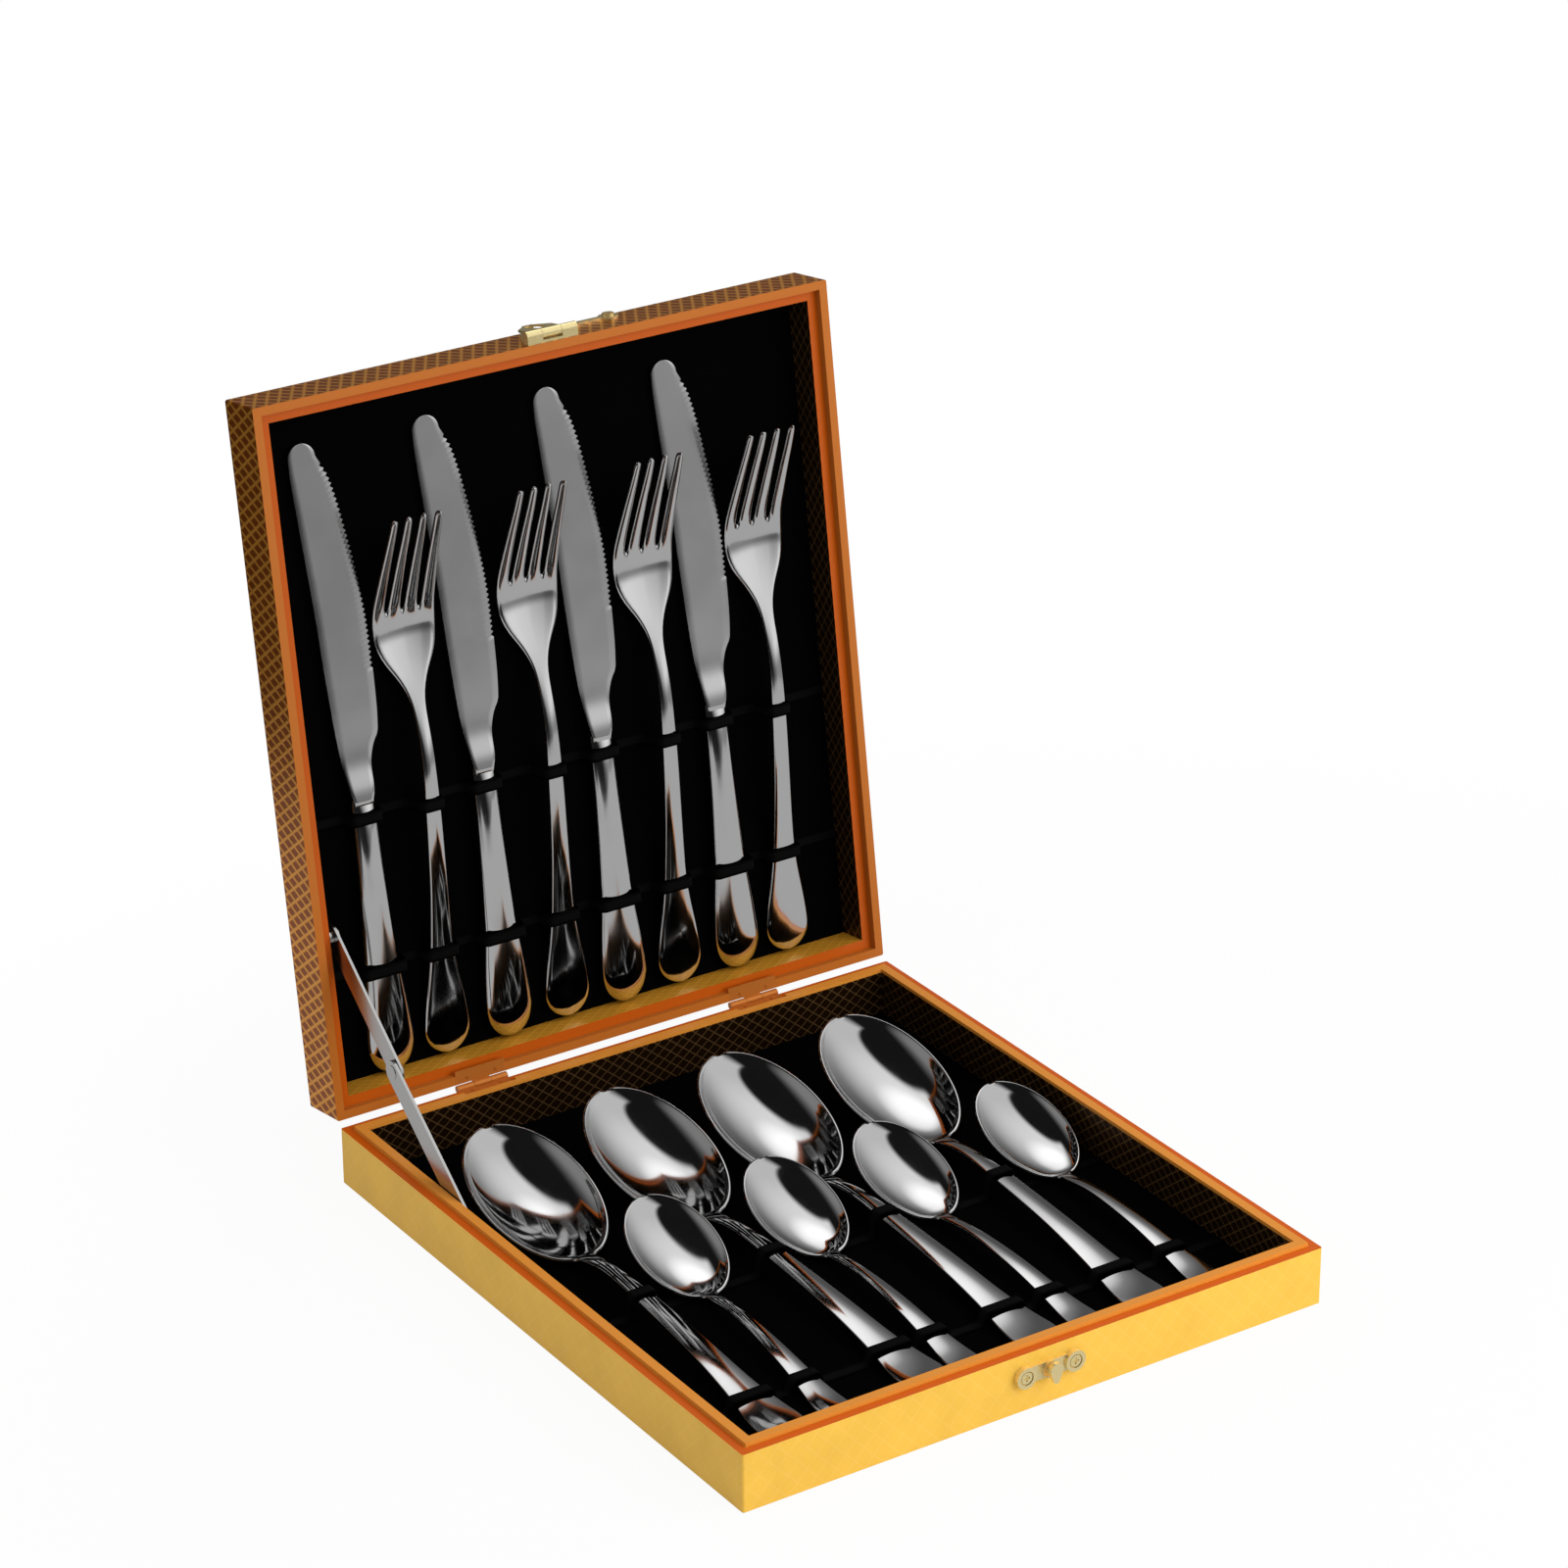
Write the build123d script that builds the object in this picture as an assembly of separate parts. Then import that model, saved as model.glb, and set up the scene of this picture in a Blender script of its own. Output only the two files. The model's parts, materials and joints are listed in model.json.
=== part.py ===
from build123d import *
import math
import os

# A boxed set of table silver: a shallow hinged chest of thin boards under embossed leatherette.
# Origin: centre of the base's underside. X runs to the right, Y from the front to the hinges, Z up.
# The lid is drawn closed and then swung open about the hinge axis. Millimetres throughout.

# The box
box_width = 240.0
box_depth = 266.0
base_height = 22.0
lid_height = 20.5
closed_gap = 0.3
wall_board = 3.3
liner_board = 3.8
bottom_board = 3.0
top_board = 2.5
insert_thickness = 2.0
base_lip = 1.4
lid_rabbet = 3.0
lip_clearance = 0.3
cut_past = 1.0
corner_radius = 0.8
open_angle = 98.4

# The two butt hinges, let into the rims
hinge_length = 21.0
hinge_spacing = 119.5
hinge_behind_back = 1.7
leaf_thickness = 0.9
leaf_width = 5.0
knuckle_radius = 1.4
knuckle_gap = 0.15
pin_radius = 0.7
pin_clearance = 0.05
hinge_screw_spacing = 12.0
hinge_screw_radius = 0.75
hinge_screw_head_radius = 1.3
hinge_screw_head_height = 0.6
hinge_screw_length = 7.0
leaf_notch_clearance = 0.3

# The folding stay on the left side
stay_width = 9.0
stay_thickness = 1.0
stay_wall_gap = 0.4
stay_link_gap = 0.4
stay_foot_before_hinge = 79.95
stay_foot_below_rim = 7.7
stay_head_before_hinge = 69.43
stay_head_above_rim = 5.2
stay_lower_share = 0.535
stay_knee_bend = 1.3
stay_screw_radius = 1.5
stay_screw_clearance = 0.08
stay_screw_head_radius = 3.0
stay_screw_head_height = 0.9
stay_screw_bite = 3.0
stay_collar_radius = 2.6
stay_end_play = 0.1
stay_rivet_radius = 1.4
stay_rivet_head_radius = 2.7
stay_rivet_lower_head = 0.2
stay_rivet_upper_head = 1.0

# The catch on the base and the hasp on the lid
clasp_x = 2.5
catch_below_rim = 8.3
catch_screw_spacing = 20.3
ear_radius = 4.0
ear_height = 2.2
catch_bar_width = 6.0
plate_thickness = 1.0
boss_radius = 3.2
boss_height = 1.7
clasp_screw_radius = 0.8
clasp_screw_head_radius = 2.2
clasp_screw_head_height = 1.0
clasp_screw_length = 5.5
clasp_screw_recess = 0.5
ear_cup_clearance = 0.4
knob_neck_radius = 1.3
knob_neck_clearance = 0.08
knob_foot_gap = 0.3
knob_head_back = 3.6
knob_head_thickness = 1.6
knob_head_width = 5.2
knob_head_tip_radius = 1.3
knob_head_length = 7.8
hasp_axis_above_rim = 2.3
hasp_axis_out = 3.2
hasp_knuckle_radius = 1.8
hasp_pin_radius = 0.8
hasp_pin_clearance = 0.06
hasp_length = 21.0
flap_knuckle_length = 8.0
hasp_knuckle_gap = 0.15
flap_width = 14.0
flap_thickness = 0.8
flap_standoff = 2.5
flap_brow_gap = 0.8
flap_reach = 16.2
flap_tail_width = 8.0
flap_curl_radius = 0.9
flap_slot_clearance = 0.4
flap_rest_gap = 0.3
hasp_plate_reach = 12.9
hasp_plate_top_radius = 4.6
hasp_arm_reach = 32.0
hasp_arm_width = 2.6
hasp_ear_radius = 3.8

# Elastic bands
band_width = 4.5
band_thickness = 0.6
band_clearance = 0.4
band_slope = 1.6
base_band_lower_y = 47.0
base_band_upper_y = 118.0
lid_band_lower_y = 218.0
lid_band_upper_y = 160.0

# Cutlery: every piece is drawn lying on its back, handle end at the origin, along +Y.
# The whole set is scaled so that a knife takes up its share of the depth inside the box. Each piece
# lies at its share of half the inner width, and leans by so many degrees.
knife_share = 0.94718
seat_gap = 0.3
lift_travel = 30.0

dinner_spoon_length = 205.0
dinner_bowl_length = 70.0
dinner_bowl_width = 43.0
dinner_bowl_depth = 9.6
dinner_pitch_angle = 13.0
dinner_wall = 1.2
dinner_stock = 2.3
dinner_end_y = 20.0
dinner_half_widths = [(1.2, 4.4), (4.5, 7.8), (10, 9.3), (20, 8.0), (32, 6.2), (60, 4.6), (98, 3.5),
                      (122, 2.8), (134, 3.1)]
dinner_neck_half_width = 5.4
dinner_underside = [(0, 0.0), (27, 1.8), (60, 4.2), (98, 5.6), (122, 4.9)]
dinner_shares = [(-0.7334, 1.4), (-0.2808, -0.7), (0.1532, -0.1), (0.6209, 2.2)]

teaspoon_length = 138.0
teaspoon_bowl_length = 49.0
teaspoon_bowl_width = 32.0
teaspoon_bowl_depth = 6.5
teaspoon_pitch_angle = 16.0
teaspoon_wall = 1.0
teaspoon_stock = 1.8
teaspoon_end_y = 21.0
teaspoon_half_widths = [(0.9, 3.2), (3.2, 5.4), (7.5, 6.3), (15, 5.4), (26, 4.2), (50, 3.0), (75, 2.2),
                        (86, 2.4)]
teaspoon_neck_half_width = 4.0
teaspoon_underside = [(0, 0.0), (20, 1.3), (45, 3.1), (66, 3.4), (79, 2.4)]
teaspoon_shares = [(-0.5208, 3.9), (-0.0762, 2.4), (0.3419, 0.6), (0.8202, 1.8)]

fork_length = 207.0
fork_end_y = 257.5
fork_stock = 2.2
fork_half_widths = [(1.2, 4.6), (4.5, 8.2), (10, 9.8), (20, 8.5), (37, 5.5), (60, 4.0), (96, 3.2), (127, 2.6),
                    (138, 3.3), (146, 6.8), (153, 11.2), (160, 12.8), (168, 12.9), (185, 11.6), (207, 10.0)]
fork_underside = [(0, 1.2), (39, 3.5), (70, 6.4), (96, 8.0), (118, 8.0), (135, 5.8), (150, 1.9), (163, 0.0),
                  (175, 1.3), (187, 5.2), (198, 11.6), (207, 19.5)]
fork_slot_root = 170.0
fork_slot_root_radius = 1.8
fork_tine_root_width = 3.6
fork_tine_tip_width = 2.6
fork_shares = [(-0.574, 0.5), (-0.1151, 0.5), (0.3251, 0.5), (0.7582, 0.5)]

knife_end_y = 258.2
knife_handle_sections = [(1, 5.0, 2.2), (4, 8.0, 3.2), (12, 9.8, 3.7), (25, 8.9, 3.7), (43, 7.1, 3.5),
                         (76, 5.5, 3.1), (96, 4.9, 2.6), (106, 4.5, 1.5)]
knife_blade_start = 101.0
knife_shoulder = [(4.8, 102), (5.2, 119), (7.2, 124.5), (9.6, 129)]
knife_outline = [(9.6, 129), (10.6, 153), (10.2, 175), (6.9, 202), (2.6, 224), (-2.8, 234.5), (-7.5, 238.5),
                 (-11.8, 235.5), (-12.9, 228), (-11.3, 202), (-9.7, 175), (-8.8, 153), (-7.3, 128),
                 (-5.2, 112), (-4.8, 102)]
knife_blade_thickness = 1.6
knife_blade_root_height = 3.0
knife_blade_tip_height = 0.1
knife_shares = [(-0.7874, 0.0), (-0.341, 0.0), (0.1054, 0.0), (0.5518, 0.0)]

# Worked out from the sizes above
half_width = box_width / 2
front_y = -box_depth / 2
back_y = box_depth / 2
inner_x = half_width - wall_board - liner_board
inner_front_y = front_y + wall_board + liner_board
inner_back_y = back_y - wall_board - liner_board
lid_rim = base_height + closed_gap
lid_top = lid_rim + lid_height
base_floor = bottom_board + insert_thickness
lid_ceiling = lid_top - top_board - insert_thickness
lip_top = base_height + base_lip
rabbet_top = lid_rim + lid_rabbet
hinge_y = back_y + hinge_behind_back
hinge_z = base_height + closed_gap / 2
hinge_centres = [-hinge_spacing / 2, hinge_spacing / 2]
knife_length = max(s for x, s in knife_outline)
grow = knife_share * (inner_back_y - inner_front_y) / knife_length


def block(x_low, x_high, y_low, y_high, z_low, z_high):
    middle = ((x_low + x_high) / 2, (y_low + y_high) / 2, (z_low + z_high) / 2)
    return Pos(*middle) * Box(x_high - x_low, y_high - y_low, z_high - z_low)


def rod_x(radius, x_low, x_high, y, z):
    return Pos((x_low + x_high) / 2, y, z) * Rot(0, 90, 0) * Cylinder(radius, x_high - x_low)


def disc(radius, low, high, x=0, y=0):
    return Pos(x, y, (low + high) / 2) * Cylinder(radius, high - low)


def turned(angle, y, z):
    return Pos(0, y, z) * Rot(angle, 0, 0) * Pos(0, -y, -z)


lid_open = turned(-open_angle, hinge_y, hinge_z)
base_seat = Pos(0, 0, base_floor + seat_gap)
lid_seat = Plane(origin=(0, 0, lid_ceiling - seat_gap), x_dir=(1, 0, 0), z_dir=(0, 0, -1)).location
nodes = {}


# The boxes

def rounded_end_wall(y_low, y_high, z_low, z_high, outer):
    wall = block(-half_width, half_width, y_low, y_high, z_low, z_high)
    upright = wall.edges().filter_by(Axis.Z).sort_by(Axis.Y)
    return fillet(upright[:2] if outer < 0 else upright[-2:], corner_radius)


def tray(prefix, wall_low, wall_high, board_low, board_high, liner_low, liner_high, insert_low, insert_high):
    side_x = half_width - wall_board
    side_front = front_y + wall_board
    side_back = back_y - wall_board
    parts = {}
    parts["front_wall"] = rounded_end_wall(front_y, side_front, wall_low, wall_high, -1)
    parts["back_wall"] = rounded_end_wall(side_back, back_y, wall_low, wall_high, 1)
    parts["left_wall"] = block(-half_width, -side_x, side_front, side_back, wall_low, wall_high)
    parts["right_wall"] = block(side_x, half_width, side_front, side_back, wall_low, wall_high)
    parts["liner_front"] = block(-side_x, side_x, side_front, inner_front_y, liner_low, liner_high)
    parts["liner_back"] = block(-side_x, side_x, inner_back_y, side_back, liner_low, liner_high)
    parts["liner_left"] = block(-side_x, -inner_x, inner_front_y, inner_back_y, liner_low, liner_high)
    parts["liner_right"] = block(inner_x, side_x, inner_front_y, inner_back_y, liner_low, liner_high)
    parts["insert"] = block(-inner_x, inner_x, inner_front_y, inner_back_y, insert_low, insert_high)
    board = block(-side_x, side_x, side_front, side_back, board_low, board_high)
    parts["bottom_board" if prefix == "base" else "top_board"] = board
    return {prefix + "_" + name: part for name, part in parts.items()}


base = tray("base", 0, base_height, 0, bottom_board, bottom_board, lip_top, bottom_board, base_floor)
lid = tray("lid", lid_rim, lid_top, lid_top - top_board, lid_top, rabbet_top, lid_top - top_board,
           lid_ceiling, lid_top - top_board)

lip_x = half_width - wall_board - lip_clearance
lip_front = front_y + wall_board + lip_clearance
lip_back = back_y - wall_board - lip_clearance
lip_trim = block(-half_width, half_width, front_y, back_y, base_height, lip_top + cut_past)
lip_trim -= block(-lip_x, lip_x, lip_front, lip_back, base_height, lip_top + cut_past)
for side in ["front", "back", "left", "right"]:
    base["base_liner_" + side] -= lip_trim


# Screws point down -Z, with the top of a flush head or the seat of a raised head at z = 0

def screw_blank(radius, head_radius, head_height, length, flush):
    shank = disc(radius, -length, 0)
    if flush:
        return shank + Pos(0, 0, -head_height / 2) * Cone(radius, head_radius, head_height)
    return shank + disc(head_radius, 0, head_height)


def cross_recess(head_radius, top, depth):
    arm = head_radius * 1.2
    width = head_radius * 0.26
    return Pos(0, 0, top - depth / 2) * (Box(arm, width, depth) + Box(width, arm, depth))


# Hinges

def hinge_leaf(x, z_low, z_high, knuckles):
    leaf = block(x - hinge_length / 2, x + hinge_length / 2, back_y - leaf_width, back_y, z_low, z_high)
    for x_low, x_high in knuckles:
        leaf += rod_x(knuckle_radius, x + x_low, x + x_high, hinge_y, hinge_z)
        leaf += block(x + x_low, x + x_high, back_y, hinge_y, z_low, z_high)
    return leaf - rod_x(pin_radius + pin_clearance, x - hinge_length, x + hinge_length, hinge_y, hinge_z)


middle_half = hinge_length / 6
base_knuckles = [(-hinge_length / 2, -middle_half - knuckle_gap / 2),
                 (middle_half + knuckle_gap / 2, hinge_length / 2)]
lid_knuckles = [(-middle_half + knuckle_gap / 2, middle_half - knuckle_gap / 2)]
leaf_screw_y = back_y - wall_board / 2
hinge_screw = screw_blank(hinge_screw_radius, hinge_screw_head_radius, hinge_screw_head_height,
                          hinge_screw_length, True)
hinge_cross = cross_recess(hinge_screw_head_radius, 0, hinge_screw_head_height / 2)
base_hinge_screws = []
lid_hinge_screws = []
for side, x in zip(["left", "right"], hinge_centres):
    base_leaf = hinge_leaf(x, base_height - leaf_thickness, base_height, base_knuckles)
    lid_leaf = hinge_leaf(x, lid_rim, lid_rim + leaf_thickness, lid_knuckles)
    x_low = x - hinge_length / 2
    x_high = x + hinge_length / 2
    leaf_front = back_y - leaf_width
    base_pocket = block(x_low, x_high, leaf_front, back_y, base_height - leaf_thickness, lip_top + cut_past)
    lip_notch = block(x_low - leaf_notch_clearance, x_high + leaf_notch_clearance,
                      leaf_front - leaf_notch_clearance, back_y, base_height, lip_top + cut_past)
    lid_pocket = block(x_low, x_high, leaf_front, back_y, lid_rim - cut_past, lid_rim + leaf_thickness)
    base["base_back_wall"] -= base_pocket
    base["base_liner_back"] -= base_pocket + lip_notch
    lid["lid_back_wall"] -= lid_pocket
    for screw_x in [x - hinge_screw_spacing / 2, x + hinge_screw_spacing / 2]:
        base_place = Pos(screw_x, leaf_screw_y, base_height)
        lid_place = Pos(screw_x, leaf_screw_y, lid_rim) * Rot(180, 0, 0)
        base_leaf -= base_place * hinge_screw
        lid_leaf -= lid_place * hinge_screw
        base["base_back_wall"] -= base_place * hinge_screw
        lid["lid_back_wall"] -= lid_place * hinge_screw
        base_hinge_screws.append(base_place * (hinge_screw - hinge_cross))
        lid_hinge_screws.append(lid_place * (hinge_screw - hinge_cross))
    base["base_hinge_leaf_" + side] = base_leaf
    lid["lid_hinge_leaf_" + side] = lid_leaf
base["base_hinge_screws"] = Compound(children=base_hinge_screws)
lid["lid_hinge_screws"] = Compound(children=lid_hinge_screws)
base["hinge_pins"] = Compound(children=[
    rod_x(pin_radius, x - hinge_length / 2, x + hinge_length / 2, hinge_y, hinge_z) for x in hinge_centres])


# The stay: the knee folds towards the hinge as the lid comes down

def swing(point, angle):
    turn = math.radians(angle)
    dy = point[0] - hinge_y
    dz = point[1] - hinge_z
    y = hinge_y + dy * math.cos(turn) - dz * math.sin(turn)
    return (y, hinge_z + dy * math.sin(turn) + dz * math.cos(turn))


def knee(foot, head, lower, upper):
    span = math.dist(foot, head)
    lean = math.atan2(head[1] - foot[1], head[0] - foot[0])
    corner = math.acos((lower ** 2 + span ** 2 - upper ** 2) / (2 * lower * span))
    return (foot[0] + lower * math.cos(lean - corner), foot[1] + lower * math.sin(lean - corner))


def bearing(start, end):
    return math.degrees(math.atan2(end[1] - start[1], end[0] - start[0]))


stay_foot = (hinge_y - stay_foot_before_hinge, base_height - stay_foot_below_rim)
stay_head_closed = (hinge_y - stay_head_before_hinge, lid_rim + stay_head_above_rim)
stay_head_open = swing(stay_head_closed, -open_angle)
share = stay_lower_share
stay_total = math.dist(stay_foot, stay_head_open) / math.sqrt(
    share ** 2 + (1 - share) ** 2 + 2 * share * (1 - share) * math.cos(math.radians(stay_knee_bend)))
stay_lower_length = share * stay_total
stay_upper_length = (1 - share) * stay_total
knee_open = knee(stay_foot, stay_head_open, stay_lower_length, stay_upper_length)
knee_closed = knee(stay_foot, stay_head_closed, stay_lower_length, stay_upper_length)
knee_open_in_lid = swing(knee_open, open_angle)
lower_turn = bearing(stay_foot, knee_closed) - bearing(stay_foot, knee_open)
upper_turn = bearing(stay_head_closed, knee_closed) - bearing(stay_head_closed, knee_open_in_lid)
lower_ratio = lower_turn / open_angle
upper_ratio = upper_turn / open_angle

stay_wall_x = -inner_x
lower_x = stay_wall_x + stay_wall_gap
upper_x = lower_x + stay_thickness + stay_link_gap


def link(start, end, x_low, pivot, hinge_hole, rivet_hole):
    middle = ((start[0] + end[0]) / 2, (start[1] + end[1]) / 2)
    strip = SlotCenterToCenter(math.dist(start, end), stay_width)
    strip -= Pos(pivot * math.dist(start, end) / 2, 0) * Circle(hinge_hole)
    strip -= Pos(-pivot * math.dist(start, end) / 2, 0) * Circle(rivet_hole)
    along = (0, end[0] - start[0], end[1] - start[1])
    plane = Plane(origin=(x_low, middle[0], middle[1]), x_dir=along, z_dir=(1, 0, 0))
    return plane.location * extrude(strip, stay_thickness)


def stay_screw(place, link_low, collar_radius):
    y, z = place
    head_low = link_low + stay_thickness + stay_end_play
    head_high = head_low + stay_screw_head_height
    screw = rod_x(stay_screw_radius, stay_wall_x - stay_screw_bite, head_low, y, z)
    screw += rod_x(stay_screw_head_radius, head_low, head_high, y, z)
    screw += rod_x(collar_radius, stay_wall_x, link_low - stay_end_play, y, z)
    recess = Plane(origin=(head_high, y, z), x_dir=(0, 1, 0), z_dir=(1, 0, 0)).location
    return screw - recess * cross_recess(stay_screw_head_radius, 0, stay_screw_head_height / 2)


bore = stay_screw_radius + stay_screw_clearance
base["stay_lower_link"] = link(stay_foot, knee_open, lower_x, -1, bore, stay_rivet_radius)
base["stay_upper_link"] = link(knee_open, stay_head_open, upper_x, 1, bore, stay_rivet_radius)
base["stay_rivet_lower"] = (
    rod_x(stay_rivet_radius, lower_x, lower_x + stay_thickness, *knee_open)
    + rod_x(stay_rivet_head_radius, lower_x - stay_rivet_lower_head, lower_x, *knee_open))
base["stay_rivet_upper"] = (
    rod_x(stay_rivet_radius, upper_x, upper_x + stay_thickness, *knee_open)
    + rod_x(stay_rivet_head_radius, upper_x + stay_thickness,
            upper_x + stay_thickness + stay_rivet_upper_head, *knee_open))
base["base_stay_screw"] = stay_screw(stay_foot, lower_x, stay_screw_radius + stay_end_play)
lid["lid_stay_screw"] = stay_screw(stay_head_closed, upper_x, stay_collar_radius)
base["base_liner_left"] -= rod_x(stay_screw_radius, stay_wall_x - stay_screw_bite, stay_wall_x,
                                 *stay_foot)
lid["lid_liner_left"] -= rod_x(stay_screw_radius, stay_wall_x - stay_screw_bite, stay_wall_x,
                               *stay_head_closed)


# The clasp, drawn flat with +Z pointing out of the chest's front

catch_z = base_height - catch_below_rim
hasp_z = lid_rim + hasp_axis_above_rim
catch_place = Plane(origin=(clasp_x, front_y, catch_z), x_dir=(1, 0, 0), z_dir=(0, -1, 0)).location
hasp_place = Plane(origin=(clasp_x, front_y, hasp_z), x_dir=(1, 0, 0), z_dir=(0, -1, 0)).location
clasp_screw = screw_blank(clasp_screw_radius, clasp_screw_head_radius, clasp_screw_head_height,
                          clasp_screw_length + plate_thickness, False)
clasp_cross = cross_recess(clasp_screw_head_radius, clasp_screw_head_height, clasp_screw_recess)
catch_screw_places = [Pos(side * catch_screw_spacing / 2, 0, plate_thickness) for side in [-1, 1]]


def catch_plate():
    plate = Pos(0, 0, plate_thickness / 2) * Box(catch_screw_spacing, catch_bar_width, plate_thickness)
    plate += disc(boss_radius, 0, boss_height)
    for place in catch_screw_places:
        x = place.position.X
        plate += disc(ear_radius, 0, ear_height, x)
        plate -= disc(clasp_screw_head_radius + ear_cup_clearance, plate_thickness, ear_height + cut_past, x)
        plate -= place * clasp_screw
    return plate - disc(knob_neck_radius + knob_neck_clearance, -cut_past, boss_height + cut_past)


def catch_knob():
    round_radius = knob_head_width / 2
    top = Pos(0, knob_head_length / 2 - round_radius) * Circle(round_radius)
    tip = Pos(0, knob_head_tip_radius - knob_head_length / 2) * Circle(knob_head_tip_radius)
    outline = make_hull((top + tip).edges())
    head = Pos(0, 0, knob_head_back) * extrude(outline, knob_head_thickness)
    return head + disc(knob_neck_radius, knob_foot_gap, knob_head_back)


base["catch_plate"] = catch_place * catch_plate()
base["catch_screws"] = Compound(children=[catch_place * place * (clasp_screw - clasp_cross)
                                          for place in catch_screw_places])
base["catch_knob"] = catch_place * catch_knob()
for place in catch_screw_places:
    base["base_front_wall"] -= catch_place * place * clasp_screw
    base["base_liner_front"] -= catch_place * place * clasp_screw

hasp_screw_places = [Pos(x, hasp_plate_reach, plate_thickness) for x in [0, hasp_arm_reach]]
hasp_bore = rod_x(hasp_pin_radius + hasp_pin_clearance, -hasp_length, hasp_length, 0, hasp_axis_out)


def hasp_plate():
    foot = Rectangle(hasp_length, 2 * hasp_knuckle_radius)
    crown = Pos(0, hasp_plate_reach) * Circle(hasp_plate_top_radius)
    plate = extrude(make_hull((foot + crown).edges()), plate_thickness)
    arm_middle = Pos(hasp_arm_reach / 2, hasp_plate_reach, plate_thickness / 2)
    plate += arm_middle * Box(hasp_arm_reach, hasp_arm_width, plate_thickness)
    plate += disc(hasp_ear_radius, 0, plate_thickness, hasp_arm_reach, hasp_plate_reach)
    inner = flap_knuckle_length / 2 + hasp_knuckle_gap
    for x_low, x_high in [(-hasp_length / 2, -inner), (inner, hasp_length / 2)]:
        plate += rod_x(hasp_knuckle_radius, x_low, x_high, 0, hasp_axis_out)
        plate += block(x_low, x_high, -hasp_knuckle_radius, hasp_knuckle_radius, 0, hasp_axis_out)
    plate -= hasp_bore
    for place in hasp_screw_places:
        plate -= place * clasp_screw
    return plate


def hasp_flap():
    inner_face = flap_standoff
    drop = hasp_z - catch_z
    tail = Pos(0, flap_tail_width / 2 - flap_reach) * Circle(flap_tail_width / 2)
    brow_top = hasp_knuckle_radius + flap_brow_gap
    brow = Pos(0, -(drop + brow_top) / 2) * Rectangle(flap_width, drop - brow_top)
    leaf = make_hull((tail + brow).edges())
    slot_width = knob_head_width + 2 * flap_slot_clearance
    slot_length = knob_head_length + 2 * flap_slot_clearance
    leaf -= Pos(0, -drop) * Rot(0, 0, 90) * SlotOverall(slot_length, slot_width)
    flap = Pos(0, 0, inner_face) * extrude(leaf, flap_thickness)
    half = flap_knuckle_length / 2
    flap += block(-half, half, -brow_top, 0, inner_face, inner_face + flap_thickness)
    flap += rod_x(hasp_knuckle_radius, -half, half, 0, hasp_axis_out)
    curl_z = inner_face + flap_thickness / 2 + flap_curl_radius / 2
    flap += rod_x(flap_curl_radius, -flap_tail_width / 4, flap_tail_width / 4, -flap_reach, curl_z)
    return flap - hasp_bore


curl_drop = flap_standoff + flap_thickness / 2 + 1.5 * flap_curl_radius - hasp_axis_out
curl_rest = hasp_axis_out - curl_drop - plate_thickness - flap_rest_gap
fold_angle = 180 + math.degrees(math.asin(curl_rest / flap_reach))
flap_fold = turned(-fold_angle, front_y - hasp_axis_out, hasp_z)
lid["hasp_plate"] = hasp_place * hasp_plate()
lid["hasp_screws"] = Compound(children=[hasp_place * place * (clasp_screw - clasp_cross)
                                        for place in hasp_screw_places])
lid["hasp_pin"] = hasp_place * rod_x(hasp_pin_radius, -hasp_length / 2, hasp_length / 2, 0, hasp_axis_out)
lid["hasp_flap"] = flap_fold * hasp_place * hasp_flap()
for place in hasp_screw_places:
    lid["lid_front_wall"] -= hasp_place * place * clasp_screw
    lid["lid_liner_front"] -= hasp_place * place * clasp_screw


# Cutlery

def plan(half_widths):
    right = [(width, s) for s, width in half_widths]
    left = [(-width, s) for s, width in reversed(half_widths)]
    outline = Spline(*left, (0, 0), *right)
    return make_face([outline, Line(right[-1], left[0])])


def side(underside, thickness):
    lower = [(s, height) for s, height in underside]
    upper = [(s, height + thickness) for s, height in reversed(underside)]
    face = make_face([Spline(*lower), Line(lower[-1], upper[0]), Spline(*upper), Line(upper[-1], lower[0])])
    return Plane(origin=(-box_width / 2, 0, 0), x_dir=(0, 1, 0), z_dir=(1, 0, 0)).location * face


def strip_of(half_widths, underside, thickness):
    flat = Pos(0, 0, -box_width / 2) * extrude(plan(half_widths), box_width)
    bent = extrude(side(underside, thickness), box_width)
    return flat & bent


def ellipsoid(half_x, half_y, half_z):
    return scale(Sphere(1), by=(half_x, half_y, half_z))


def spoon(length, bowl_length, bowl_width, bowl_depth, bowl_pitch, wall, stock, half_widths,
          neck_half_width, underside):
    pitch = math.radians(bowl_pitch)
    half = bowl_length / 2
    rim_height = math.hypot(bowl_depth * math.cos(pitch), half * math.sin(pitch))
    centre_s = length - half * math.cos(pitch)
    neck_s = centre_s - half * math.cos(pitch)
    neck_height = rim_height - half * math.sin(pitch) - stock
    place = Pos(0, centre_s, rim_height) * Rot(bowl_pitch, 0, 0)
    outer = ellipsoid(bowl_width / 2, half, bowl_depth)
    inner = ellipsoid(bowl_width / 2 - wall, half - wall, bowl_depth - wall)
    rim_cut = Pos(0, 0, bowl_length) * Box(2 * bowl_length, 2 * bowl_length, 2 * bowl_length)
    widths = half_widths + [(neck_s + 4 * wall, neck_half_width)]
    heights = underside + [(neck_s, neck_height), (neck_s + 4 * wall, neck_height)]
    handle = strip_of(widths, heights, stock)
    return handle + place * (outer - rim_cut) - place * inner


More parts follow.
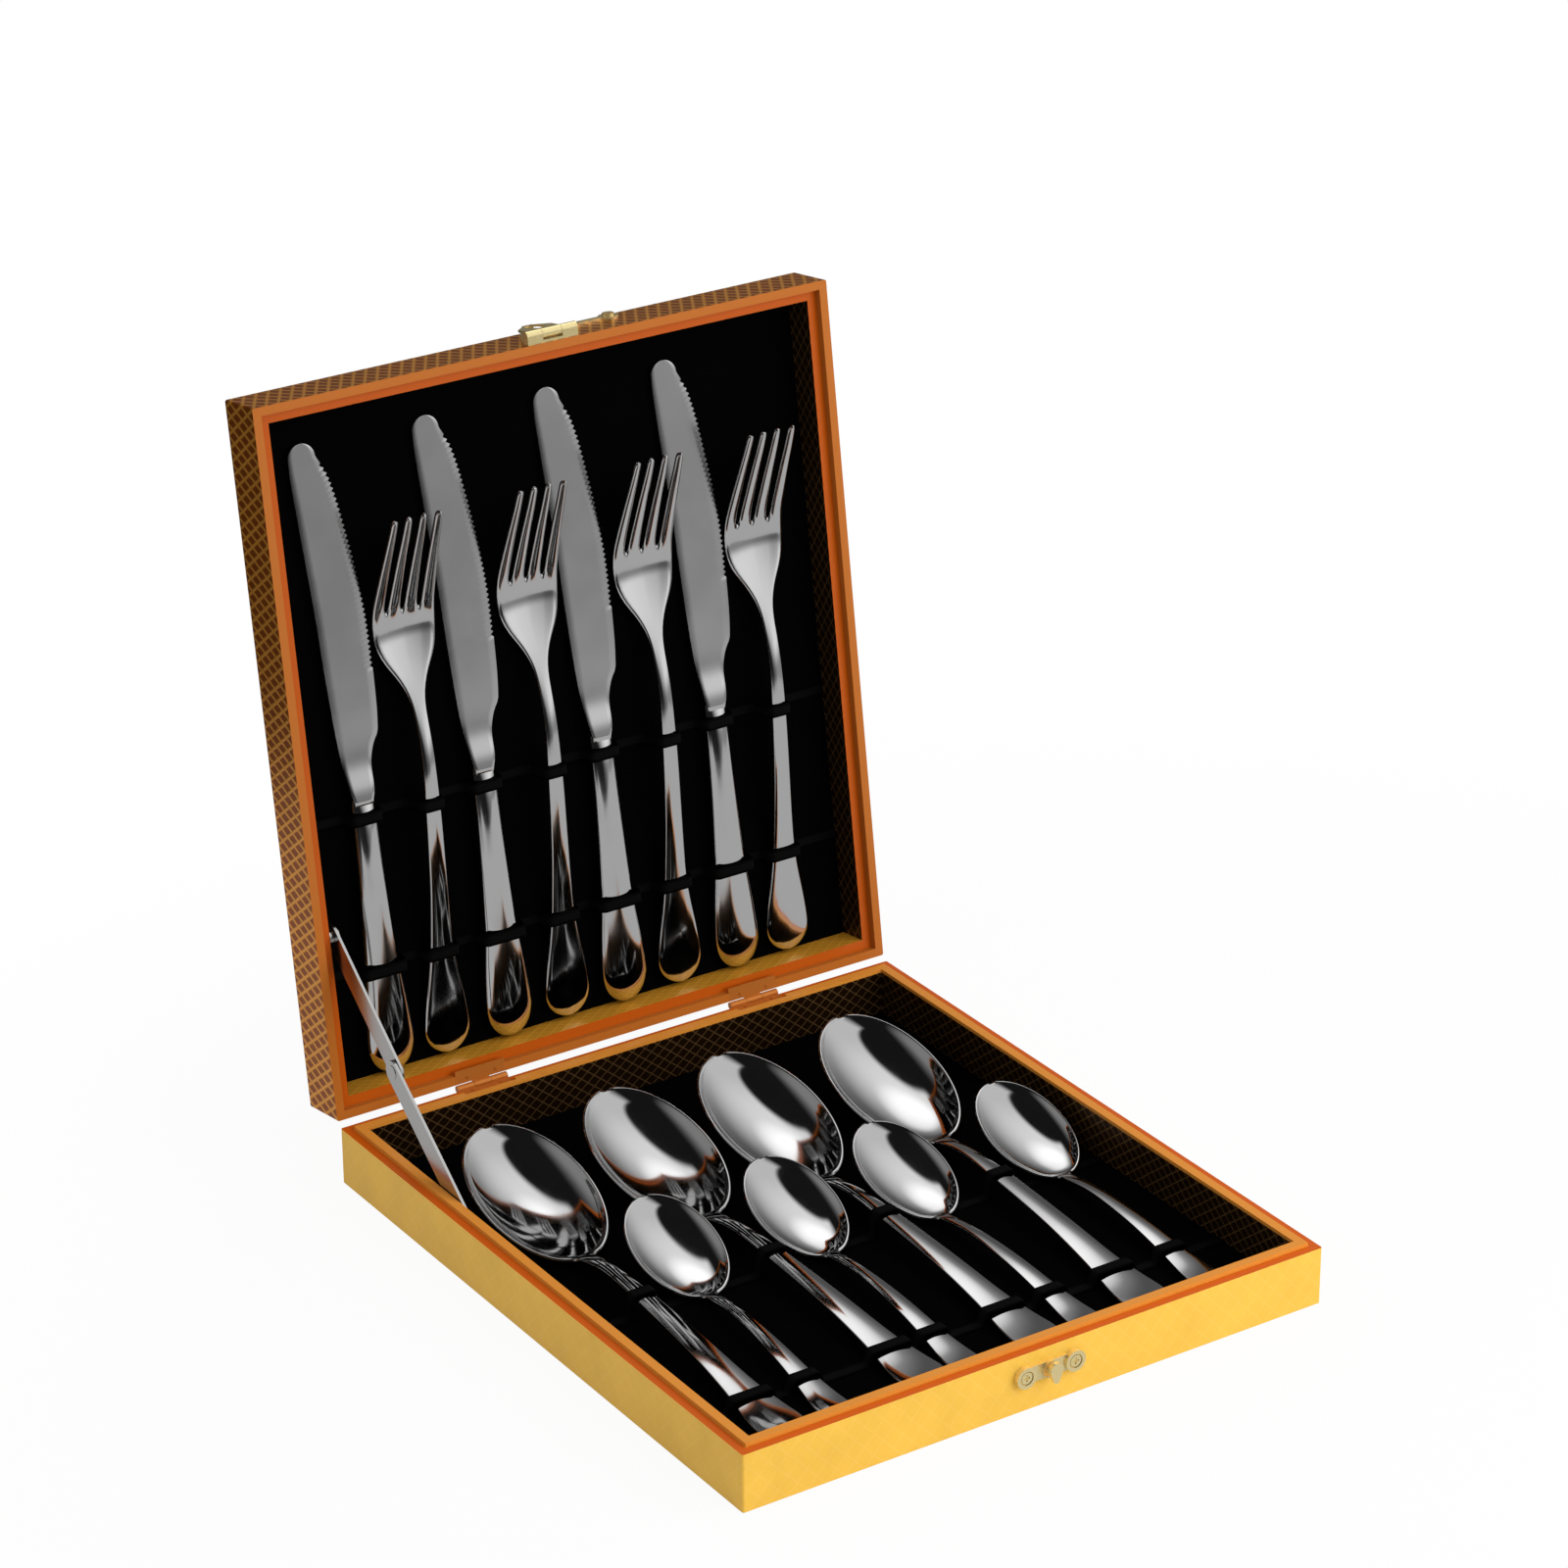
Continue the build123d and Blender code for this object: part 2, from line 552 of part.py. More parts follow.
def fork():
    body = strip_of(fork_half_widths, fork_underside, fork_stock)
    tip_half = fork_half_widths[-1][1]
    root_half = fork_half_widths[-3][1]
    tip_slot = (2 * tip_half - 4 * fork_tine_tip_width) / 3
    root_x = root_half - fork_tine_root_width - fork_slot_root_radius
    tip_x = tip_half - fork_tine_tip_width - tip_slot / 2
    for side_step in [-1, 0, 1]:
        root = Pos(side_step * root_x, fork_slot_root) * Circle(fork_slot_root_radius)
        mouth = Pos(side_step * tip_x, fork_length + cut_past / 2) * Rectangle(tip_slot, cut_past)
        slot = make_hull((root + mouth).edges())
        body -= extrude(slot, box_width)
    return body


knife_thickest = max(thickness for s, width, thickness in knife_handle_sections)


def knife():
    sections = []
    for s, width, thickness in knife_handle_sections:
        section = Plane(origin=(0, s, knife_thickest), x_dir=(1, 0, 0), z_dir=(0, 1, 0))
        sections.append(section.location * Ellipse(width, thickness))
    handle = loft(sections)
    tip_s = knife_length + cut_past
    edge = Polyline(knife_outline[-1], knife_shoulder[0], knife_shoulder[1])
    step = Spline(*knife_shoulder[1:])
    outline = make_face([edge, step, Spline(*knife_outline)])
    blade_plan = Pos(0, 0, -box_width / 2) * extrude(outline, box_width)
    root_s = knife_blade_start
    profile = Polygon((root_s, knife_blade_root_height), (tip_s, knife_blade_tip_height),
                      (tip_s, knife_blade_tip_height + knife_blade_thickness),
                      (root_s, knife_blade_root_height + knife_blade_thickness), align=None)
    profile_plane = Plane(origin=(-box_width / 2, 0, 0), x_dir=(0, 1, 0), z_dir=(1, 0, 0))
    return handle + (blade_plan & extrude(profile_plane.location * profile, box_width))


def height_at(underside, s):
    for (s_low, low), (s_high, high) in zip(underside, underside[1:]):
        if s <= s_high:
            return low + (high - low) * (s - s_low) / (s_high - s_low)
    return underside[-1][1]


def arch(x, half_width_here, top):
    return (x, half_width_here + band_clearance, top + seat_gap + band_clearance)


def hump(x, half, top, foot):
    outline = [(x - half - band_slope, 0), (x - half - band_slope, foot), (x - half, top), (x + half, top),
               (x + half + band_slope, foot), (x + half + band_slope, 0)]
    return make_face(Polyline(*outline, outline[0]))


def band(y, arches):
    strip = Pos(0, band_thickness / 2) * Rectangle(2 * inner_x, band_thickness)
    for x, half, top in arches:
        strip += hump(x, half + band_thickness, top + band_thickness, band_thickness)
    for x, half, top in arches:
        strip -= make_face(Polyline((x - half - band_slope, 0), (x - half, top), (x + half, top),
                                    (x + half + band_slope, 0), (x - half - band_slope, 0)))
    cross = Plane(origin=(0, y + band_width / 2, 0), x_dir=(1, 0, 0), z_dir=(0, -1, 0))
    return extrude(cross.location * strip, band_width)


base_arches = {base_band_lower_y: [], base_band_upper_y: []}
lid_arches = {lid_band_lower_y: [], lid_band_upper_y: []}


def stow_base(name, shape, shares, end_y, length, half_bowl, half_widths, underside, stock, bands, rise):
    bowl_y = front_y + grow * (end_y + length - half_bowl)
    for number, (share, lean) in enumerate(shares, 1):
        x = share * inner_x
        place = Pos(x, bowl_y, rise) * Rot(0, 0, -lean) * Pos(0, grow * (half_bowl - length), 0)
        base[name + "_" + str(number)] = base_seat * place * scale(shape, grow)
        for band_y in bands:
            s = band_y - end_y
            shift = (length - half_bowl - s) * math.tan(math.radians(lean))
            reach = max(height_at(half_widths, s - band_width), height_at(half_widths, s + band_width))
            top = max(height_at(underside, s - band_width), height_at(underside, s + band_width)) + stock
            base_arches[band_y].append(arch(x - grow * shift, grow * reach, grow * top + rise))


def stow_lid(name, shape, shares, end_y, half_widths, tops):
    for number, (share, lean) in enumerate(shares, 1):
        x = share * inner_x
        place = Pos(x, -front_y - grow * end_y, 0) * Rot(0, 0, -lean)
        lid[name + "_" + str(number)] = lid_seat * place * scale(shape, grow)
        for band_y in lid_arches:
            s = end_y - band_y
            shift = s * math.tan(math.radians(lean))
            reach = max(height_at(half_widths, s - band_width), height_at(half_widths, s + band_width))
            top = max(height_at(tops, s - band_width), height_at(tops, s + band_width))
            lid_arches[band_y].append(arch(x + grow * shift, grow * reach, grow * top))


dinner_spoon = spoon(dinner_spoon_length, dinner_bowl_length, dinner_bowl_width, dinner_bowl_depth,
                     dinner_pitch_angle, dinner_wall, dinner_stock, dinner_half_widths, dinner_neck_half_width,
                     dinner_underside)
teaspoon = spoon(teaspoon_length, teaspoon_bowl_length, teaspoon_bowl_width, teaspoon_bowl_depth,
                 teaspoon_pitch_angle, teaspoon_wall, teaspoon_stock, teaspoon_half_widths,
                 teaspoon_neck_half_width, teaspoon_underside)
stow_base("dinner_spoon", dinner_spoon, dinner_shares, dinner_end_y, dinner_spoon_length,
          dinner_bowl_length / 2, dinner_half_widths, dinner_underside, dinner_stock,
          [base_band_lower_y, base_band_upper_y], 0)
# The bowls of the teaspoons rest on the upper band
stow_base("teaspoon", teaspoon, teaspoon_shares, teaspoon_end_y, teaspoon_length, teaspoon_bowl_length / 2,
          teaspoon_half_widths, teaspoon_underside, teaspoon_stock, [base_band_lower_y], band_thickness)
fork_tops = [(s, height + fork_stock) for s, height in fork_underside]
knife_half_widths = [(s, width) for s, width, thickness in knife_handle_sections]
knife_tops = [(s, knife_thickest + thickness) for s, width, thickness in knife_handle_sections]
stow_lid("table_fork", fork(), fork_shares, fork_end_y, fork_half_widths, fork_tops)
stow_lid("table_knife", knife(), knife_shares, knife_end_y, knife_half_widths, knife_tops)

base_insert_top = Pos(0, 0, base_floor)
lid_insert_face = Plane(origin=(0, 0, lid_ceiling), x_dir=(1, 0, 0), z_dir=(0, 0, -1)).location
for name, band_y in [("base_band_lower", base_band_lower_y), ("base_band_upper", base_band_upper_y)]:
    base[name] = base_insert_top * band(front_y + grow * band_y, base_arches[band_y])
for name, band_y in [("lid_band_lower", lid_band_lower_y), ("lid_band_upper", lid_band_upper_y)]:
    lid[name] = lid_insert_face * band(-front_y - grow * band_y, lid_arches[band_y])

nodes.update(base)
for name, part in lid.items():
    nodes[name] = lid_open * part

os.makedirs("parts", exist_ok=True)
for name, part in nodes.items():
    export_step(part, "parts/" + name + ".step")

lid_normal = (0, -math.sin(math.radians(open_angle)), -math.cos(math.radians(open_angle)))
flap_axis = swing((front_y - hasp_axis_out, hasp_z), -open_angle)
print("nodes", len(nodes))
print("hinge axis y z", round(hinge_y, 4), round(hinge_z, 4), "open", open_angle)
print("flap axis x y z", clasp_x, round(flap_axis[0], 4), round(flap_axis[1], 4))
print("flap fold", round(fold_angle, 3))
print("knob axis x z", clasp_x, round(catch_z, 4))
print("stay foot", stay_foot, "head", stay_head_open)
print("knee open", knee_open, "closed", knee_closed)
print("stay turns", round(lower_turn, 4), round(upper_turn, 4))
print("stay ratios", round(lower_ratio, 6), round(upper_ratio, 6))
print("lid normal", lid_normal, "lift", lift_travel)
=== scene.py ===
import json
import math

import bpy
from mathutils import Matrix, Vector


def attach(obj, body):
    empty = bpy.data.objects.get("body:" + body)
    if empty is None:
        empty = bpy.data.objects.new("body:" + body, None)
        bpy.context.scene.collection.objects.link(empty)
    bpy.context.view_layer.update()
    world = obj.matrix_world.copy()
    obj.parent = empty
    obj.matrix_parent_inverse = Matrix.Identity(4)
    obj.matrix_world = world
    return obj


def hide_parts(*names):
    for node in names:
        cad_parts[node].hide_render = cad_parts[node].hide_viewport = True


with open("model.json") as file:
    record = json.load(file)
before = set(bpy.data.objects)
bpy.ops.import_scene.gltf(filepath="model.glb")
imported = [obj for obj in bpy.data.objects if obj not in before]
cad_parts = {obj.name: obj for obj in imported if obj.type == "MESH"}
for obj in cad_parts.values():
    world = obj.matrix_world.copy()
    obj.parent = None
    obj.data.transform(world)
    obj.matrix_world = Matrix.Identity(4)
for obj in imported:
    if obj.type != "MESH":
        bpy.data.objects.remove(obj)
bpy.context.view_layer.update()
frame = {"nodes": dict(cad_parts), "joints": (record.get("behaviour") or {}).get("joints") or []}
nodes = frame["nodes"]
mm = 0.001
print("frame loaded:", len(nodes), "nodes")


def jointNamed(name):
    return next(joint for joint in frame["joints"] if joint["name"] == name)


def deselectAll():
    bpy.ops.object.select_all(action="DESELECT")


def hexColour(text):
    channels = [int(text[i:i + 2], 16) / 255 for i in (1, 3, 5)]
    linear = [c / 12.92 if c <= 0.04045 else ((c + 0.055) / 1.055) ** 2.4 for c in channels]
    return (*linear, 1.0)


def smoothAt(table, s):  # the value at s on a smooth line through the table's points
    last = len(table) - 2
    i = next((n for n in range(last + 1) if s <= table[n + 1][0]), last)
    (s0, v0), (s1, v1) = table[i], table[i + 1]
    before = table[max(i - 1, 0)]
    after = table[min(i + 2, last + 1)]
    slope0 = (v1 - before[1]) / (s1 - before[0])
    slope1 = (after[1] - v0) / (after[0] - s0)
    step = s1 - s0
    t = min(max((s - s0) / step, 0), 1)
    rise = v0 * (2 * t ** 3 - 3 * t ** 2 + 1) + v1 * (3 * t ** 2 - 2 * t ** 3)
    return rise + step * (slope0 * (t ** 3 - 2 * t ** 2 + t) + slope1 * (t ** 3 - t ** 2))


def ease(t):  # 0 to 1 with soft ends
    t = min(max(t, 0), 1)
    return t * t * (3 - 2 * t)


def gridPiece(name, columns, rows, spot):  # a grid whose points are put at spot(column, row), in mm
    deselectAll()
    bpy.ops.mesh.primitive_grid_add(x_subdivisions=columns, y_subdivisions=rows, size=2)
    piece = bpy.context.active_object
    piece.name = name
    piece.data.name = name
    for vertex in piece.data.vertices:
        column = round((vertex.co.x + 1) / 2 * columns)
        row = round((vertex.co.y + 1) / 2 * rows)
        vertex.co = Vector(spot(column, row)) * mm
    return piece


def uvAlong(piece, length):  # the piece's UV map runs with its length: V is 0 to 1 from end to end
    layer = piece.data.uv_layers.active.data
    for loop in piece.data.loops:
        spot = piece.data.vertices[loop.vertex_index].co
        layer[loop.index].uv = (0.5 + spot.x / mm / 50, spot.y / mm / length)


def addModifier(piece, kind, **settings):
    modifier = piece.modifiers.new(kind.title(), kind)
    for key, value in settings.items():
        setattr(modifier, key, value)
    bpy.context.view_layer.objects.active = piece
    bpy.ops.object.modifier_apply(modifier=modifier.name)


def thicken(piece, thickness, levels=1):
    addModifier(piece, "SOLIDIFY", thickness=thickness * mm, offset=-1, use_even_offset=False)
    addModifier(piece, "SUBSURF", levels=levels, render_levels=levels)
    piece.data.shade_smooth()


def settle(piece, matrix):  # turns the mesh into its place and leaves the object at the origin
    deselectAll()
    piece.select_set(True)
    bpy.context.view_layer.objects.active = piece
    piece.matrix_world = matrix
    bpy.ops.object.transform_apply(location=True, rotation=True, scale=True)


def copyOf(piece, name):
    twin = piece.copy()
    twin.data = piece.data.copy()
    twin.name = name
    twin.data.name = name
    bpy.context.scene.collection.objects.link(twin)
    return twin


def newMaterial(name):
    material = bpy.data.materials.new(name)
    material.use_nodes = True
    tree = material.node_tree
    return material, tree, tree.nodes["Principled BSDF"]


def addNode(tree, kind, inputs=None, **settings):
    node = tree.nodes.new(kind)
    for key, value in settings.items():
        setattr(node, key, value)
    for key, value in (inputs or {}).items():
        if isinstance(value, bpy.types.NodeSocket):
            tree.links.new(value, node.inputs[key])
        else:
            node.inputs[key].default_value = value
    return node


lidHinge = jointNamed("lid_hinge")
hingeSpot = Vector(lidHinge["pos_m"])
openAngle = math.radians(-lidHinge["range_deg"][0])
lidOpen = (Matrix.Translation(hingeSpot) @ Matrix.Rotation(-openAngle, 4, "X")
           @ Matrix.Translation(-hingeSpot))
lidRim = lidOpen.to_3x3() @ Vector((0, 0, -1))  # the way the open lid's rim faces
lidMiddle = lidOpen @ Vector((0, 0, 0.03))
lipFrom = 22.0  # mm: what stands above this height in the base is painted as the rim

# Embossed diamonds, in mm: the base's are almost flat, the lid's are finer and deeper
baseNet = {"along": 7.6, "high": 8.2, "line": 0.03, "soft": 0.07, "relief": 0.015}
lidNet = {"along": 4.9, "high": 8.4, "line": 0.04, "soft": 0.18, "relief": 0.08}
innerNet = {"along": 5.6, "high": 4.6, "line": 0.03, "soft": 0.07, "relief": 0.08}


def leatherette(name, net, cell, line, rim, onLid, metallic, roughness, insideRim=False):
    # embossed polyurethane leatherette under a gilt film: a raised net of diamonds that takes its
    # light from what stands round it, and a plain painted edge on the rim
    material, tree, shader = newMaterial(name)
    place = addNode(tree, "ShaderNodeTexCoord")
    facing = Vector((0, 0, 1))
    spot = place.outputs["Object"]
    if onLid:  # the net is laid out on the closed lid
        facing = lidRim
        spot = addNode(tree, "ShaderNodeMapping", {"Vector": spot, "Rotation": (openAngle, 0, 0)}).outputs[0]
    parts = addNode(tree, "ShaderNodeSeparateXYZ", {0: spot})
    around = addNode(tree, "ShaderNodeMath", {0: parts.outputs[0], 1: parts.outputs[1]})
    across = addNode(tree, "ShaderNodeMath", {0: around.outputs[0], 1: net["along"] * mm}, operation="DIVIDE")
    up = addNode(tree, "ShaderNodeMath", {0: parts.outputs[2], 1: net["high"] * mm}, operation="DIVIDE")
    lines = []
    for way in ["ADD", "SUBTRACT"]:
        slant = addNode(tree, "ShaderNodeMath", {0: across.outputs[0], 1: up.outputs[0]}, operation=way)
        lines.append(addNode(tree, "ShaderNodeMath", {0: slant.outputs[0], 1: 0.5}, operation="PINGPONG"))
    nearest = addNode(tree, "ShaderNodeMath", {0: lines[0].outputs[0], 1: lines[1].outputs[0], 2: 0.1},
                      operation="SMOOTH_MIN")
    ridge = addNode(tree, "ShaderNodeMapRange",
                    {"Value": nearest.outputs[0], "From Min": net["line"], "From Max": net["line"] + net["soft"],
                     "To Min": 1.0, "To Max": 0.0}, interpolation_type="SMOOTHSTEP")
    blotch = addNode(tree, "ShaderNodeTexNoise", {"Vector": spot, "Scale": 60.0, "Detail": 3.0})
    shade = addNode(tree, "ShaderNodeMapRange", {"Value": blotch.outputs[0], "To Min": 0.88, "To Max": 1.1})
    skin = addNode(tree, "ShaderNodeMix", {"Factor": ridge.outputs[0], "A": hexColour(cell), "B": hexColour(line)},
                   data_type="RGBA")
    aged = addNode(tree, "ShaderNodeMix",
                   {"Factor": 1.0, "A": skin.outputs["Result"], "B": shade.outputs[0]},
                   data_type="RGBA", blend_type="MULTIPLY")
    turned = addNode(tree, "ShaderNodeVectorMath", {0: place.outputs["Normal"], 1: facing},
                     operation="DOT_PRODUCT")
    upper = addNode(tree, "ShaderNodeMapRange", {"Value": turned.outputs["Value"], "From Min": 0.6, "From Max": 0.8})
    edge = upper
    if insideRim:  # the lid wall's inner side, which shows above the liner
        outward = addNode(tree, "ShaderNodeVectorMath", {0: place.outputs["Object"], 1: lidMiddle},
                          operation="SUBTRACT")
        inward = addNode(tree, "ShaderNodeVectorMath", {0: outward.outputs[0], 1: place.outputs["Normal"]},
                         operation="DOT_PRODUCT")
        lip = addNode(tree, "ShaderNodeMapRange", {"Value": inward.outputs["Value"], "From Min": -0.04,
                                                   "From Max": -0.06})
        edge = addNode(tree, "ShaderNodeMath", {0: upper.outputs[0], 1: lip.outputs[0]}, operation="MAXIMUM")
    elif not onLid:  # the base liner's outer side, which stands above the wall
        lip = addNode(tree, "ShaderNodeMapRange", {"Value": parts.outputs[2], "From Min": lipFrom * mm,
                                                   "From Max": (lipFrom + 0.05) * mm})
        edge = addNode(tree, "ShaderNodeMath", {0: upper.outputs[0], 1: lip.outputs[0]}, operation="MAXIMUM")
    colour = addNode(tree, "ShaderNodeMix",
                     {"Factor": edge.outputs[0], "A": aged.outputs["Result"], "B": hexColour(rim)},
                     data_type="RGBA")
    tree.links.new(colour.outputs["Result"], shader.inputs["Base Color"])
    film = addNode(tree, "ShaderNodeMapRange", {"Value": edge.outputs[0], "To Min": metallic, "To Max": 0.0})
    tree.links.new(film.outputs[0], shader.inputs["Metallic"])
    flat = addNode(tree, "ShaderNodeMath", {0: ridge.outputs[0], 1: edge.outputs[0]}, operation="MAXIMUM")
    grain = addNode(tree, "ShaderNodeTexNoise", {"Vector": spot, "Scale": 900.0, "Detail": 2.0})
    height = addNode(tree, "ShaderNodeMath", {0: grain.outputs[0], 1: 0.25, 2: flat.outputs[0]},
                     operation="MULTIPLY_ADD")
    bump = addNode(tree, "ShaderNodeBump", {"Height": height.outputs[0], "Distance": net["relief"] * mm,
                                            "Strength": 0.7})
    tree.links.new(bump.outputs[0], shader.inputs["Normal"])
    shader.inputs["Roughness"].default_value = roughness
    shader.inputs["Specular IOR Level"].default_value = 0.2
    return material


def flockedBoard():
    # black rayon flock on card: short dense fibres that take in nearly all light
    material, tree, shader = newMaterial("flockedBoard")
    shader.inputs["Base Color"].default_value = hexColour("#030303")
    shader.inputs["Roughness"].default_value = 0.95
    shader.inputs["Specular IOR Level"].default_value = 0.02
    place = addNode(tree, "ShaderNodeTexCoord")
    fibres = addNode(tree, "ShaderNodeTexNoise", {"Vector": place.outputs["Object"], "Scale": 1800.0})
    bump = addNode(tree, "ShaderNodeBump", {"Height": fibres.outputs[0], "Distance": 0.0002, "Strength": 0.5})
    tree.links.new(bump.outputs[0], shader.inputs["Normal"])
    return material


def wovenElastic():
    # black knitted elastic: two firm edges and a slightly paler ribbed middle
    material, tree, shader = newMaterial("wovenElastic")
    uv = addNode(tree, "ShaderNodeTexCoord").outputs["UV"]
    across = addNode(tree, "ShaderNodeSeparateXYZ", {0: uv}).outputs[1]
    ribs = addNode(tree, "ShaderNodeMath", {0: across, 1: 1 / 8}, operation="PINGPONG")
    middle = addNode(tree, "ShaderNodeMath", {0: across, 1: 0.5}, operation="PINGPONG")
    pale = addNode(tree, "ShaderNodeMapRange", {"Value": middle.outputs[0], "From Min": 0.14, "From Max": 0.24})
    colour = addNode(tree, "ShaderNodeMix", {"Factor": pale.outputs[0], "A": hexColour("#030303"),
                                             "B": hexColour("#080808")}, data_type="RGBA")
    tree.links.new(colour.outputs["Result"], shader.inputs["Base Color"])
    bump = addNode(tree, "ShaderNodeBump", {"Height": ribs.outputs[0], "Distance": 0.0002, "Strength": 0.5})
    tree.links.new(bump.outputs[0], shader.inputs["Normal"])
    shader.inputs["Roughness"].default_value = 0.8
    shader.inputs["Specular IOR Level"].default_value = 0.05
    return material


def stainless(name, tint, polished, satin, satinFrom):
    # 18/10 stainless steel, pressed: the handle mirror-polished, the head left with a fine satin
    material, tree, shader = newMaterial(name)
    shader.inputs["Base Color"].default_value = hexColour(tint)
    shader.inputs["Metallic"].default_value = 1.0
    place = addNode(tree, "ShaderNodeTexCoord")
    along = addNode(tree, "ShaderNodeSeparateXYZ", {0: place.outputs["UV"]}).outputs[1]
    smudge = addNode(tree, "ShaderNodeTexNoise", {"Vector": place.outputs["Object"], "Scale": 70.0, "Detail": 4.0})
    wear = addNode(tree, "ShaderNodeMapRange", {"Value": smudge.outputs[0], "From Min": 0.4, "From Max": 0.75,
                                                "To Max": 0.05})
    finish = addNode(tree, "ShaderNodeMapRange",
                     {"Value": along, "From Min": satinFrom - 0.04, "From Max": satinFrom + 0.04,
                      "To Min": polished, "To Max": satin}, interpolation_type="SMOOTHSTEP")
    rough = addNode(tree, "ShaderNodeMath", {0: finish.outputs[0], 1: wear.outputs[0]})
    tree.links.new(rough.outputs[0], shader.inputs["Roughness"])
    return material


def brushedMetal(name, tint, metallic, roughness, grain):
    # plated or rolled sheet metal: a fine noise grain in the bump stands for the drawn lines, coarser than the real
    # ones so that it shows
    material, tree, shader = newMaterial(name)
    shader.inputs["Base Color"].default_value = hexColour(tint)
    shader.inputs["Metallic"].default_value = metallic
    shader.inputs["Roughness"].default_value = roughness
    place = addNode(tree, "ShaderNodeTexCoord")
    noise = addNode(tree, "ShaderNodeTexNoise", {"Vector": place.outputs["Object"], "Scale": grain})
    bump = addNode(tree, "ShaderNodeBump", {"Height": noise.outputs[0], "Distance": 0.00005, "Strength": 0.4})
    tree.links.new(bump.outputs[0], shader.inputs["Normal"])
    return material


brown = {"net": innerNet, "cell": "#3A2410", "line": "#98744A", "metallic": 0.8, "roughness": 0.3}
baseGold = leatherette("gildedLeatherette", baseNet, "#FAC650", "#FBC958", "#C8580C", False, 0.3, 0.34)
# painted shade: the lid wears the same gilt leatherette as the base, and its dark brown cells and browner rim paint in
# the darker look of the lid's sides
shadedLidGold = leatherette("gildedLeatheretteLidShaded", lidNet, "#9A4E10", "#F2A640", "#AE6220", True, 0.75, 0.34, insideRim=True)
# the tan rim colour on the base liner's lip is partly the lip's own edge paint and partly a painted highlight along
# that upward-facing edge
baseBrown = leatherette("innerLeatherette", rim="#D88A34", onLid=False, **brown)
lidBrown = leatherette("innerLeatheretteLid", rim="#B2500A", onLid=True, **brown)
# painted light: the hinge-side liner is the same brown leatherette, and this bright gold stands in for lamp light
# falling on that ledge between the handles' shadows
litLedgePaint = leatherette("innerLeatheretteLitLedge", innerNet, "#E09A2C", "#F0B040", "#B2500A", True, 0.3, 0.3)
flock = flockedBoard()
elastic = wovenElastic()
# the knife's and fork's paler tint (#DADADA against the spoons' #BDBDBD) is a painted highlight that brightens their
# reflections; the steel is the same
mirrorSteel = stainless("mirrorStainless", "#BDBDBD", 0.05, 0.05, 0.5)
litForkSteel = stainless("burnishedStainlessLit", "#DADADA", 0.06, 0.1, 0.5)
litSatinSteel = stainless("satinStainlessLit", "#DADADA", 0.06, 0.2, 0.5)
staySteel = brushedMetal("rolledSteelStrip", "#C9C9C8", 1.0, 0.22, 900.0)
claspBrass = brushedMetal("paleBrassPlate", "#F4E0A4", 0.75, 0.2, 600.0)
hingeBrass = brushedMetal("stampedBrass", "#CC7A30", 0.5, 0.35, 600.0)


def paint(obj, material):
    obj.data.materials.clear()
    obj.data.materials.append(material)


for name, node in nodes.items():
    onLid = name.startswith("lid")
    if "insert" in name:
        paint(node, flock)
    # the hinge-side liner gets the bright gold painted light instead of the brown
    elif name == "lid_liner_back":
        paint(node, litLedgePaint)
    elif "liner" in name:
        paint(node, lidBrown if onLid else baseBrown)
    # the lid's walls and boards get the copy with painted shade in its cells
    elif "wall" in name or "board" in name:
        paint(node, shadedLidGold if onLid else baseGold)
    elif "stay" in name:
        paint(node, staySteel)
    elif "hinge" in name:
        paint(node, hingeBrass)
    elif name.startswith("catch") or name.startswith("hasp"):
        paint(node, claspBrass)
print("materials made")


# Cutlery is drawn lying on its back, handle end at the origin, along +Y
stow = {"seat": 5.3, "teaRise": 0.6, "ceiling": 38.0, "front": -133.0}  # mm; the ceiling is the closed lid's
capTurn = 0.12  # the handle's end stops just short of its pole


def endRows(cap, count):  # rows of a rounded end: how far along each is
    turns = [capTurn + (math.pi / 2 - capTurn) * n / count for n in range(count)]
    return [cap * (1 - math.cos(turn)) for turn in turns]


def capWidth(widths, cap, s):  # half the width of a handle with an elliptic end
    if s >= cap:
        return smoothAt(widths, s)
    return smoothAt(widths, cap) * math.sqrt(max(1 - (1 - s / cap) ** 2, 0))


dinner = {"length": 205.0, "bowlLength": 70.0, "bowlWidth": 43.0, "bowlDepth": 7.9, "rimRise": 9.6, "pitch": 17.5,
          "stock": 2.3, "sheet": 1.5, "cap": 10.0, "crown": 0.5,
          "widths": [(10, 9.3), (20, 8.0), (32, 6.2), (60, 4.6), (98, 3.5), (122, 2.8), (134, 3.1), (146, 0.4)],
          "under": [(0, 1.0), (14, 0.4), (27, 1.2), (60, 4.2), (98, 5.6), (122, 4.9), (136.8, 2.05), (146, 2.05)]}
tea = {"length": 138.0, "bowlLength": 49.0, "bowlWidth": 32.0, "bowlDepth": 5.2, "rimRise": 6.5, "pitch": 19.5,
       "stock": 1.8, "sheet": 1.2, "cap": 7.5, "crown": 0.35,
       "widths": [(7.5, 6.3), (15, 5.4), (26, 4.2), (50, 3.0), (75, 2.2), (86, 2.4), (97, 0.3)],
       "under": [(0, 0.8), (10, 0.3), (20, 0.9), (45, 3.1), (66, 3.4), (79, 2.4), (90.9, 0.65), (98, 0.65)]}


